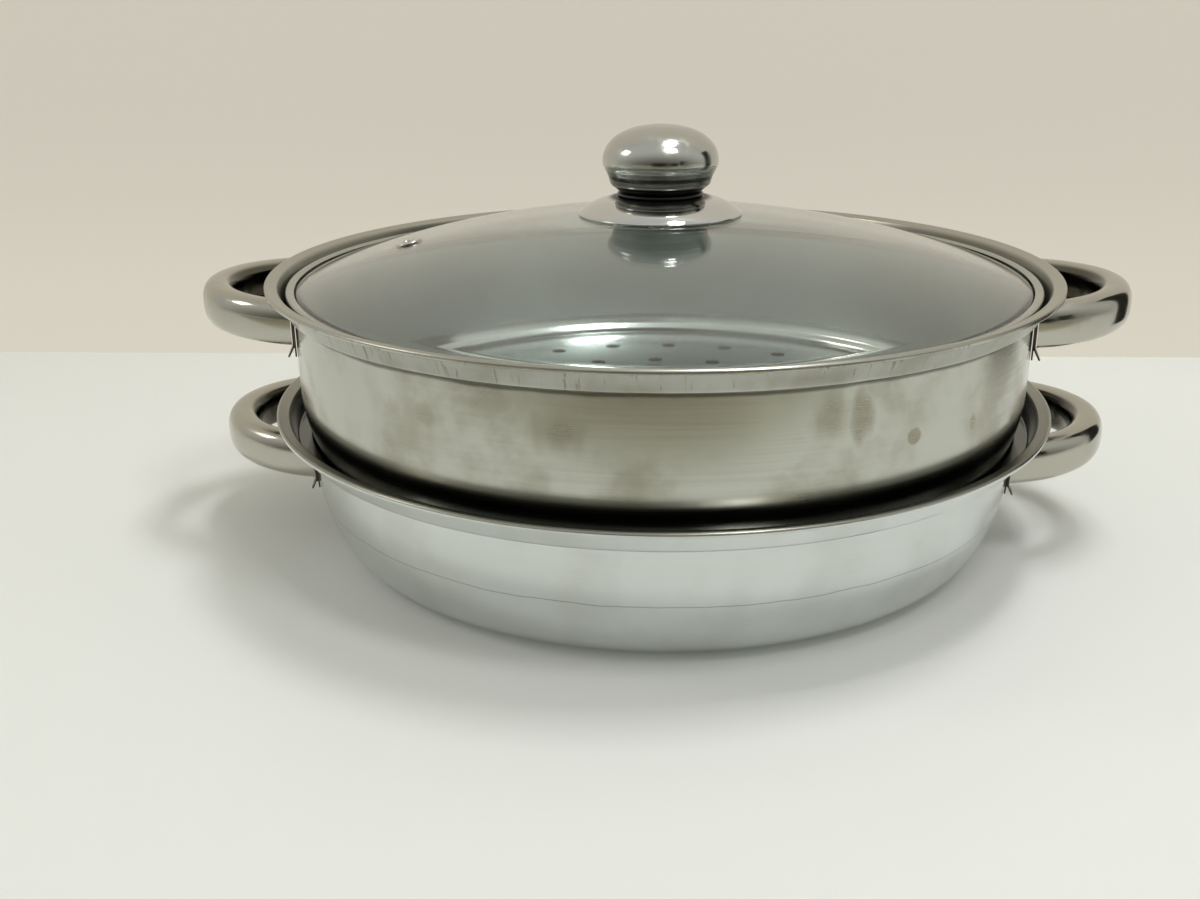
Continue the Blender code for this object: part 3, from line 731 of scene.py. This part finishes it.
loop = {
    "reach": 48.4,
    "halfSpan": 49.3,
    "width": 13.0,
    "height": 17.1,
    "squareness": 2.65,
    "slope": 3.2,
    "tail": 8.0,
    "centre": 152.0,
    "plateSheet": 1.2,
    "plateWidth": 15.0,
    "plateFoot": 4.4,
    "plateTaper": 0.6,
    "plateRound": 0.15,
    "prongSheet": 0.6,
    "prongSpread": 2.2,
    "prongRoot": 5.0,
    "prongTip": 2.5,
}

loopSteel = {}
for side, facing in (("left", -1), ("right", 1)):
    centre = (facing * loop["centre"] * mm, 0, 0)
    loopSteel[side] = makeMirrorStainless(f"mirror stainless, {side} loops", loopLook, centre)


def potLean():
    # of the pot's wall between its ledge and the flank
    flankTop = potArcs()[0][1] - pot["flankRadius"] * math.cos(math.radians(pot["flankAngle"]))
    return math.atan(pot["wallTaper"] / (potLedge - flankTop))


# body, lip height, wall radius, wall lean, how far the legs start inside the wall, drop below the lip
tiers = (
    ("pot", pot["height"], pot["wall"], potLean(), 8.8, 7.2),
    ("steamer", steamerTop, steamer["wall"], 0.0, 7.1, 4.2),
)


def superEllipse(halfWidth, halfHeight, power, count):
    points = []
    for k in range(count):
        c, s = math.cos(2 * math.pi * k / count), math.sin(2 * math.pi * k / count)
        x = math.copysign(abs(c) ** (2 / power), c) * halfWidth
        z = math.copysign(abs(s) ** (2 / power), s) * halfHeight
        points.append((x, z))
    return points


def loopTube(name):
    # rounded tube swept round half an ellipse that rises from the wall to its tip
    reach, span = loop["reach"] - loop["width"] / 2, loop["halfSpan"] - loop["width"] / 2
    plan = [Vector((-loop["tail"], -span)), Vector((-loop["tail"] / 2, -span))]
    for share in shares(72):
        turn = math.pi * (share - 0.5)
        plan.append(Vector((reach * math.cos(turn), span * math.sin(turn))))
    plan += [Vector((-loop["tail"] / 2, span)), Vector((-loop["tail"], span))]
    section = superEllipse(loop["width"] / 2, loop["height"] / 2, loop["squareness"], 56)
    bm = bmesh.new()
    rings = []
    for k, here in enumerate(plan):
        along = (plan[min(k + 1, len(plan) - 1)] - plan[max(k - 1, 0)]).normalized()
        out = Vector((along.y, -along.x))
        rise = (here.x - reach) * math.tan(math.radians(loop["slope"]))
        ring = [bm.verts.new(Vector((*(here + out * x), rise + z)) * mm) for x, z in section]
        rings.append(ring)
    for a, b in zip(rings, rings[1:]):
        for k in range(len(a)):
            bm.faces.new((a[k - 1], a[k], b[k], b[k - 1]))
    bm.faces.new(rings[0])
    bm.faces.new(rings[-1])
    bmesh.ops.recalc_face_normals(bm, faces=bm.faces)
    return meshFrom(bm, name)


def wallFrame(ledge, wall, lean, facing):
    # X out of the wall, Z up along it, the origin on the wall under the ledge
    place = Matrix.Translation(Vector((wall, 0, ledge)) * mm)
    return Matrix.Rotation(facing, 4, "Z") @ place @ Matrix.Rotation(lean, 4, "Y")


def legTrimmer(place):
    # block whose outer face trims a leg just clear of its plate
    bm = bmesh.new()
    depth, block = 2 * seatGap + loop["plateSheet"], 50.0
    centre = Matrix.Translation(((depth - block / 2) * mm, 0, 0))
    bmesh.ops.create_cube(bm, size=block * mm, matrix=place @ centre)
    return meshFrom(bm, "leg_trimmer")


def collarTrimmer(top, wall):
    ledge, low = ledgeHeight(top), top - rim["sheet"] - rim["flangeRise"]
    inner = wall - loop["tail"]
    outline = [
        (inner, top),
        (flangeFoot + seatGap, top),
        (flangeFoot + seatGap, low),
        (collarFoot + seatGap, ledge + rim["ledgeFall"] - seatGap),
        (inner, ledge - seatGap),
    ]
    return turnPiece("collar_trimmer", outline)


def legPlate(name, place, handleFoot):
    # two sheets spot welded together that part at the foot
    foot = handleFoot - loop["plateFoot"]
    near, far = seatGap, seatGap + loop["plateSheet"]
    thin, spread = loop["prongSheet"], loop["prongSpread"]
    plate, root, tip = loop["plateWidth"], loop["prongRoot"], loop["prongTip"]
    taper = handleFoot + loop["plateTaper"]
    # distance from the wall, height, width there
    outline = [
        (near, -seatGap, plate), (near, taper, plate), (near, handleFoot, root), (near, foot, tip),
        (near + thin, foot, tip), ((near + far) / 2, handleFoot, root), (far + spread - thin, foot, tip),
        (far + spread, foot, tip), (far, handleFoot, root), (far, taper, plate), (far, -seatGap, plate),
    ]
    bm = bmesh.new()
    sides = []
    for way in (-1, 1):
        sides.append([bm.verts.new(Vector((x, way * w / 2, z)) * mm) for x, z, w in outline])
    bm.faces.new(sides[0])
    bm.faces.new(sides[1][::-1])
    for k in range(len(outline)):
        bm.faces.new((sides[0][k - 1], sides[0][k], sides[1][k], sides[1][k - 1]))
    bmesh.ops.recalc_face_normals(bm, faces=bm.faces)
    bmesh.ops.bevel(
        bm, geom=bm.edges[:], offset=loop["plateRound"] * mm, segments=2, affect="EDGES", profile=0.5
    )
    bm.transform(place)
    return settle(meshFrom(bm, name))


for tier, top, wall, lean, inset, drop in tiers:
    ledge = ledgeHeight(top)
    tip = top - drop - loop["height"]
    handleFoot = tip - loop["reach"] * math.tan(math.radians(loop["slope"])) - ledge
    for side, turn in (("right", 0), ("left", math.pi)):
        tube = loopTube(f"{tier}_loop_{side}")
        centre = Vector((wall - inset, 0, tip + loop["height"] / 2)) * mm
        tube.data.transform(Matrix.Rotation(turn, 4, "Z") @ Matrix.Translation(centre))
        trimmers = [collarTrimmer(top, wall)]
        spread = math.asin((loop["halfSpan"] - loop["width"] / 2) / wall) * math.cos(turn)
        for end, facing in (("front", turn - spread), ("back", turn + spread)):
            place = wallFrame(ledge, wall, lean, facing)
            trimmers.append(legTrimmer(place))
            plate = legPlate(f"{tier}_plate_{side}_{end}", place, handleFoot)
            # the plates take the near-black strip, painted shade for the gap under the rim
            dress(plate, shadedStripStainless, tier, f"{tier}_handle_plate_{side}_{end}")
        cutAway(tube, trimmers)
        dress(tube, loopSteel[side], tier, f"{tier}_handle_{side}")
print("handles and plates fitted")


# Lid: glass, band and vent

lid = {
    "bandInset": 0.2,
    "bandHeight": 6.0,
    "bandLip": 3.2,
    "bandSheet": 0.6,
    "glassInset": 2.6,
    "glassRise": 26.0,
    "glassThickness": 3.6,
    "glassEdgeDrop": 1.8,
    "knobHole": 4.2,
}

vent = {
    "inset": 45.2,
    "heading": 183.6,
    "hole": 3.6,
    "bore": 2.2,
    "flange": 5.5,
    "sheet": 0.7,
}

bandRadius = collarFoot - lid["bandInset"]
glassRadius = bandRadius - lid["glassInset"]
bandFoot = steamerLedge + rim["ledgeFall"] + rim["sheet"] + seatGap
bandTop = bandFoot + lid["bandHeight"]
glassSphere = (lid["glassRise"] ** 2 + glassRadius**2) / (2 * lid["glassRise"])
glassApex = bandTop - lid["glassEdgeDrop"] + lid["glassRise"]


def glassTop(radius):
    return glassApex - glassSphere + math.sqrt(glassSphere**2 - radius**2)


def ventFrame():
    # Z along the glass's normal, the origin halfway through the glass
    lean = math.asin((glassRadius - vent["inset"]) / glassSphere)
    centre = Matrix.Translation((0, 0, (glassApex - glassSphere) * mm))
    out = Matrix.Translation((0, 0, (glassSphere - lid["glassThickness"] / 2) * mm))
    heading = Matrix.Rotation(math.radians(vent["heading"]), 4, "Z")
    return centre @ heading @ Matrix.Rotation(lean, 4, "Y") @ out


def makeGlass():
    thick = lid["glassThickness"]
    inner = math.asin(lid["knobHole"] / glassSphere)
    outer = math.asin(glassRadius / glassSphere) - thick / 2 / glassSphere
    centre = Vector((0, glassApex - glassSphere))

    def onSphere(depth, angle):
        return centre + Vector((math.sin(angle), math.cos(angle))) * (glassSphere - depth)

    angles = [inner + (outer - inner) * share for share in shares(36)]
    top = [onSphere(0, a) for a in angles]
    bottom = [onSphere(thick, a) for a in angles[::-1]]
    outline = top + roundEnd(top[-1], bottom[0], 10) + bottom
    glass = turnPiece("lid_glass", outline)
    bm = bmesh.new()
    addDrill(bm, vent["hole"], 12.0, 48, ventFrame())
    return cutAway(glass, [meshFrom(bm, "vent_drill")])


def makeBand():
    inner = bandRadius - lid["bandLip"]
    path = roundCorners([
        (inner, glassTop(inner) + seatGap + lid["bandSheet"], 0),
        (bandRadius, bandTop, 0.9),
        (bandRadius, bandFoot, 1.4),
        (inner, bandFoot, 0),
    ])
    return turnPiece("lid_band", sheetOutline(path, lid["bandSheet"], openEnd=True))


def makeEyelet():
    stem, under = vent["hole"] - seatGap, lid["glassThickness"] / 2 + seatGap
    over, bore, flange = under + vent["sheet"], vent["bore"], vent["flange"]
    outline = roundCorners([
        (bore, over, 0.65), (flange, over, 0.6), (flange, under, 0.05), (stem, under, 0.05),
        (stem, -under, 0.05), (flange, -under, 0.05), (flange, -over, 0.6), (bore, -over, 0.65),
    ], guard=0.02)
    eyelet = turnPiece("vent_eyelet", outline, 96)
    eyelet.data.transform(ventFrame())
    return eyelet


dress(makeGlass(), temperedGlass, "lid", "lid_glass")
dress(makeBand(), bandStainless, "lid", "lid_rim")
dress(makeEyelet(), mirrorStainless, "lid", "vent_eyelet")
print("glass, band and vent made")


# Knob

knob = {
    "plateRadius": 33.0,
    "domeHeight": 6.9,
    "domeFlat": 16.5,
    "domePower": 3.9,
    "sheet": 0.6,
    "collarRadius": 17.1,
    "collarHeight": 1.1,
    "coreNeck": 12.4,
    "coreRadius": 15.8,
    "coreHeight": 14.0,
    "neck": 16.5,
    "seam": 22.1,
    "radius": 23.1,
    "lowerHeight": 8.6,
    "lowerRound": 0.35,
    "lowerSwell": ((0.16, 0.23), (0.37, 0.61), (0.70, 0.77)),
    "capBelly": 3.0,
    "capRise": 14.1,
    "capPower": 2.2,
}

# The knob's lower shell, a thin stainless pressing buffed on a wheel: clearer than the pot, with the
# same faint rings; the bands that darken it at its foot and in its hollow are painted shade and painted
# dark reflections
knobLook = dict(
    satinLook, roughness=(0.16, 0.21), anisotropy=0.2, lineSpacing=0.5, lineLength=20.0, filmSize=12.0,
    filmDepth=0.25, bandWander=0.3,
)

fixing = {
    "screw": 2.5,
    "headRadius": 5.0,
    "headHeight": 2.8,
    "crown": 1.4,
    "slot": 1.2,
    "insertWall": 1.6,
    "insertLength": 13.0,
    "gasketRadius": 9.0,
    "gasketHeight": 1.4,
    "washerRadius": 8.0,
    "washerHeight": 1.0,
}

domeFoot = glassTop(knob["plateRadius"]) + seatGap + knob["sheet"]


def domeTop(radius):
    share = max(radius, knob["domeFlat"]) / knob["plateRadius"]
    return domeFoot + knob["domeHeight"] * (1 - share ** knob["domePower"])


coreFoot = domeTop(0) + seatGap
lowerFoot = coreFoot + knob["collarHeight"] + seatGap
seamHeight = lowerFoot + knob["lowerHeight"]
screwBore = fixing["screw"] + seatGap


def makeKnobPlate():
    path = [Vector((screwBore, domeTop(0))), Vector((knob["domeFlat"] - 0.3, domeTop(0)))]
    for share in shares(44):
        radius = knob["domeFlat"] + (knob["plateRadius"] - knob["domeFlat"]) * share
        path.append(Vector((radius, domeTop(radius))))
    return turnPiece("knob_plate", sheetOutline(path, knob["sheet"], openEnd=True), 192)


def makeKnobCore():
    bore = screwBore + fixing["insertWall"] + seatGap
    shoulder, seat = coreFoot + knob["collarHeight"], lowerFoot + knob["sheet"] + seatGap
    top = seat + knob["coreHeight"]
    return turnPiece("knob_core", roundCorners([
        (bore, top, 0.3), (knob["coreRadius"], top, 0.8), (knob["coreRadius"], seat, 0.2),
        (knob["coreNeck"], seat, 0.1), (knob["coreNeck"], shoulder, 0.1),
        (knob["collarRadius"], shoulder, 0.35), (knob["collarRadius"], coreFoot, 0.35),
        (bore, coreFoot, 0.2),
    ], guard=0.05), 192)


def makeKnobLowerShell():
    curve = [(knob["seam"], seamHeight)]
    for rise, swell in reversed(knob["lowerSwell"]):
        radius = knob["neck"] + swell * (knob["seam"] - knob["neck"])
        curve.append((radius, lowerFoot + rise * knob["lowerHeight"]))
    curve.append((knob["neck"], lowerFoot + knob["lowerRound"]))
    path = smoothThrough(curve) + [Vector((knob["neck"] - knob["lowerRound"], lowerFoot))]
    path.append(Vector((knob["coreNeck"] + seatGap, lowerFoot)))
    return turnPiece("knob_lower_shell", sheetOutline(path, knob["sheet"], openEnd=True), 192)


def makeKnobCap():
    belly, power = seamHeight + seatGap + knob["capBelly"], 2 / knob["capPower"]
    path = []
    for share in shares(40):
        turn = math.pi / 2 * share
        rise = knob["capRise"] * max(0, math.cos(turn)) ** power
        path.append(Vector((knob["radius"] * math.sin(turn) ** power, belly + rise)))
    for down in shares(8, 1):
        inward = (knob["radius"] - knob["seam"]) * down**2
        path.append(Vector((knob["radius"] - inward, belly - knob["capBelly"] * down)))
    return turnPiece("knob_cap", sheetOutline(path, knob["sheet"], openEnd=True), 192)


def makeRing(name, inner, outer, foot, top, fillet):
    corners = [(inner, top, fillet), (outer, top, fillet), (outer, foot, fillet), (inner, foot, fillet)]
    return turnPiece(name, roundCorners(corners, guard=0.03), 96)


def makeScrew(seat, top):
    foot = seat - fixing["headHeight"]
    crown = [(fixing["headRadius"], foot + fixing["crown"], 0)]
    for share in shares(8, 1):
        turn = math.pi / 2 * share
        height = foot + fixing["crown"] * (1 - math.sin(turn))
        crown.append((fixing["headRadius"] * math.cos(turn), height, 0))
    crown[-1] = (0, foot, 0)
    screw = turnPiece("knob_screw", roundCorners([
        (0, top, 0), (fixing["screw"], top, 0.4), (fixing["screw"], seat, 0.1),
        (fixing["headRadius"], seat, 0.2),
    ] + crown, guard=0.03), 96)
    bm = bmesh.new()
    slot = Matrix.Diagonal((3 * fixing["headRadius"] * mm, fixing["slot"] * mm, fixing["slot"] * mm, 1))
    bmesh.ops.create_cube(bm, size=1, matrix=Matrix.Translation((0, 0, foot * mm)) @ slot)
    return cutAway(screw, [meshFrom(bm, "slot")])


dress(makeKnobPlate(), chromePlate, "lid", "knob_base_plate")
dress(makeKnobCore(), blackPhenolic, "lid", "knob_collar")
# bands of painted shade and painted dark reflection up the lower shell: dark at its foot, dimmer over its
# lower flank, a black band above that and a darker zone under the seam
shellStainless = makeSatinStainless("buffed stainless, knob shell", knobLook, [
    (lowerFoot - 1.0, lowerFoot - 0.5, lowerFoot + 0.3, lowerFoot + 1.0, 0.85),
    (lowerFoot + 0.6, lowerFoot + 1.0, lowerFoot + 4.8, lowerFoot + 5.2, 0.5),
    (lowerFoot + 4.8, lowerFoot + 5.4, lowerFoot + 6.6, lowerFoot + 7.1, 0.9),
    (lowerFoot + 6.6, lowerFoot + 7.1, seamHeight + 1.0, seamHeight + 2.0, 0.4),
])
dress(makeKnobLowerShell(), shellStainless, "lid", "knob_lower_shell")
dress(makeKnobCap(), capStainless, "lid", "knob_cap")

gasketTop = glassApex - lid["glassThickness"] - seatGap
washerTop = gasketTop - fixing["gasketHeight"] - seatGap
screwSeat = washerTop - fixing["washerHeight"] - seatGap
gasket = makeRing("glass_gasket", screwBore, fixing["gasketRadius"], washerTop + seatGap, gasketTop, 0.4)
washer = makeRing("screw_washer", screwBore, fixing["washerRadius"], screwSeat + seatGap, washerTop, 0.15)
dress(gasket, milkySilicone, "lid", "glass_gasket")
dress(washer, mirrorStainless, "lid", "screw_washer")
screwTop = coreFoot + fixing["insertLength"] - seatGap
dress(makeScrew(screwSeat, screwTop), mirrorStainless, "lid", "knob_screw")
print("knob and its fixings made")


# Studio: white table, cream board behind it, soft lamps and a few dark flags

table = {"colour": "#E5E7E3", "roughness": 0.5, "grain": 0.4, "size": 6.0, "glow": 0.08}
board = {
    "colour": "#D2CCBE",
    "roughness": 0.9,
    "grain": 0.003,
    "distance": 0.256,
    "height": 3.0,
    "width": 6.0,
    "glow": 0.85,
    # its light fades between two heights, from one level to the other
    "foot": (0.0, 0.16, 1.14, 1.0),
    "top": (0.4, 2.4, 1.0, 1.05),
    "hueFade": (0.55, 1.3),
}
room = {
    "ceiling": "#C9CAC4",
    "far": "#5E5B52",
    "seen": "#D2CCBE",
    "tilt": (0, 0.7, 0.8),    # the way in which it grows paler
    "rise": (-0.75, 0.35),
}

# name: place, size, colour, watts; all of them aim at the pot
lamps = {
    "ceiling_tubes_back": ((0.24, 0.03, 1.30), (0.30, 0.22), "#FFFFFF", 6.2),
    "ceiling_tubes_front": ((0.41, -0.57, 1.25), (0.26, 0.34), "#FFFFFF", 4.0),
    "side_fill": ((-1.20, -0.10, 0.95), (0.35, 0.35), "#FFF8EC", 1.8),
}
lampTarget = Vector((0, 0, 0.05))

# only mirrored in the metal and glass: the far end of the table and the dark room around it
# flag: colour, two opposite corners, height; screen: colour, foot's ends, its lower and upper edge
flags = {
    "floor_in_front": ("#A8A692", (-1.2, -1.6), (1.2, -0.345), 0.001),
    "mat_in_front": ("#918C76", (-0.22, -1.2), (0.16, -0.36), 0.002),
}
screens = {
    "dark_in_front": ("#262521", (-0.5, -1.6), (1.1, -1.6), (0.0, 0.36)),
    "dark_at_right": ("#1E1D1A", (0.42, 0.04), (0.42, 0.19), (0.0, 0.36)),
    "dark_at_front_right": ("#1E1D1A", (0.70, -0.86), (0.90, -0.66), (0.10, 0.38)),
}


def stagePlane(name, corners, finish):
    mesh = bpy.data.meshes.new(name)
    mesh.from_pydata(corners, [], [(0, 1, 2, 3)])
    mesh.materials.append(finish)
    plane = bpy.data.objects.new(name, mesh)
    studio.objects.link(plane)
    return plane


def makeStageFinish(name, look, oneSided=False):
    # painted surface; its share of glow keeps it pale where it is seen, mirrored or looked through to
    finish, tree, shader = newFinish(name)
    place = addNode(tree, "TexCoord").outputs["Object"]
    setInputs(tree, shader, {
        "Base Color": hexToLinear(look["colour"]),
        "Roughness": look["roughness"],
        "Normal": bumpFrom(tree, noise(tree, place, look["grain"], 3.0), 0.1, 0.2),
    })
    glow = addNode(tree, "Emission", None, {"Color": hexToLinear(look["colour"])})
    if "hueFade" in look:
        # painted light in the board's glow: brighter at its foot, where the table lights it, and far from
        # the pot the glow takes on the room's hue
        height = addNode(tree, "SeparateXYZ", None, {0: place}).outputs[2]
        foot = ramp(tree, height, *look["foot"])
        top = ramp(tree, height, *look["top"])
        away = ramp(tree, vectorMath(tree, "LENGTH", place), *look["hueFade"])
        setInputs(tree, glow, {
            "Color": blend(tree, away, look["colour"], room["ceiling"]),
            "Strength": calculate(tree, "MULTIPLY", foot, top),
        })
    rays = addNode(tree, "LightPath").outputs
    seen = calculate(tree, "MAXIMUM", rays["Is Camera Ray"], rays["Is Glossy Ray"])
    seen = calculate(tree, "MAXIMUM", seen, rays["Is Transmission Ray"])
    share = calculate(tree, "MULTIPLY", seen, look["glow"])
    surface = addNode(tree, "MixShader", None, {0: share, 1: shader.outputs[0], 2: glow.outputs[0]})
    if oneSided:
        away = addNode(tree, "NewGeometry").outputs["Backfacing"]
        clear = addNode(tree, "BsdfTransparent").outputs[0]
        surface = addNode(tree, "MixShader", None, {0: away, 1: surface.outputs[0], 2: clear})
    setInputs(tree, tree.nodes["Material Output"], {"Surface": surface.outputs[0]})
    return finish


def flatPlane(near, far, height):
    return [(*near, height), (far[0], near[1], height), (*far, height), (near[0], far[1], height)]


def uprightPlane(near, far, foot, top):
    return [(*near, foot), (*far, foot), (*far, top), (*near, top)]


half, side, back = table["size"] / 2, board["width"] / 2, board["distance"]
tableTop = flatPlane((-half, -half), (half, half), -0.0001)
boardFace = uprightPlane((-side, back), (side, back), 0, board["height"])
stagePlane("table_top", tableTop, makeStageFinish("white melamine table top", table))
stagePlane("back_board", boardFace, makeStageFinish("cream painted board", board, True))

darkPlanes = [(name, colour, flatPlane(*rest)) for name, (colour, *rest) in flags.items()]
for name, (colour, near, far, edges) in screens.items():
    darkPlanes.append((name, colour, uprightPlane(near, far, *edges)))
for name, colour, corners in darkPlanes:
    finish, tree, shader = newFinish(name.replace("_", " "))
    setInputs(tree, shader, {"Base Color": hexToLinear(colour), "Roughness": 0.9})
    plane = stagePlane(name, corners, finish)
    plane.visible_camera = plane.visible_diffuse = plane.visible_shadow = False

for name, (place, size, colour, watts) in lamps.items():
    data = bpy.data.lights.new(name, "AREA")
    data.shape = "RECTANGLE"
    data.size, data.size_y = size
    data.energy = watts
    data.color = hexToLinear(colour)[:3]
    lamp = bpy.data.objects.new(name, data)
    lamp.location = place
    lamp.rotation_euler = (lampTarget - Vector(place)).to_track_quat("-Z", "Y").to_euler()
    studio.objects.link(lamp)


def makeRoomLight():
    # dim towards the front horizon, pale at the ceiling and to the back
    world = bpy.data.worlds.new("grey room")
    world.use_nodes = True
    tree = world.node_tree
    towards = addNode(tree, "TexCoord").outputs["Generated"]
    rise = ramp(tree, vectorMath(tree, "DOT_PRODUCT", towards, room["tilt"]), *room["rise"])
    walls = blend(tree, rise, room["far"], room["ceiling"])
    isCamera = addNode(tree, "LightPath").outputs["Is Camera Ray"]
    setInputs(tree, tree.nodes["Background"], {"Color": blend(tree, isCamera, walls, room["seen"])})
    bpy.context.scene.world = world


makeRoomLight()
print("studio lit")


# Camera at the photograph's place; the image is 1200 x 899

view = {
    "focal": 37.182,
    "place": (0.0, -0.5041, 0.2109),
    "heading": 2.8542,
    "downTilt": 19.862,
    "roll": -0.4974,
}

cameraData = bpy.data.cameras.new("camera")
cameraData.sensor_fit = "HORIZONTAL"
cameraData.sensor_width = 36.0
cameraData.lens = view["focal"]
cameraData.clip_start = 0.01
camera = bpy.data.objects.new("camera", cameraData)
studio.objects.link(camera)
camera.matrix_world = (
    Matrix.Translation(view["place"])
    @ Matrix.Rotation(math.radians(view["heading"]), 4, "Z")
    @ Matrix.Rotation(math.radians(90 - view["downTilt"]), 4, "X")
    @ Matrix.Rotation(math.radians(view["roll"]), 4, "Z")
)
bpy.context.scene.camera = camera
bpy.context.scene.view_settings.view_transform = "Standard"
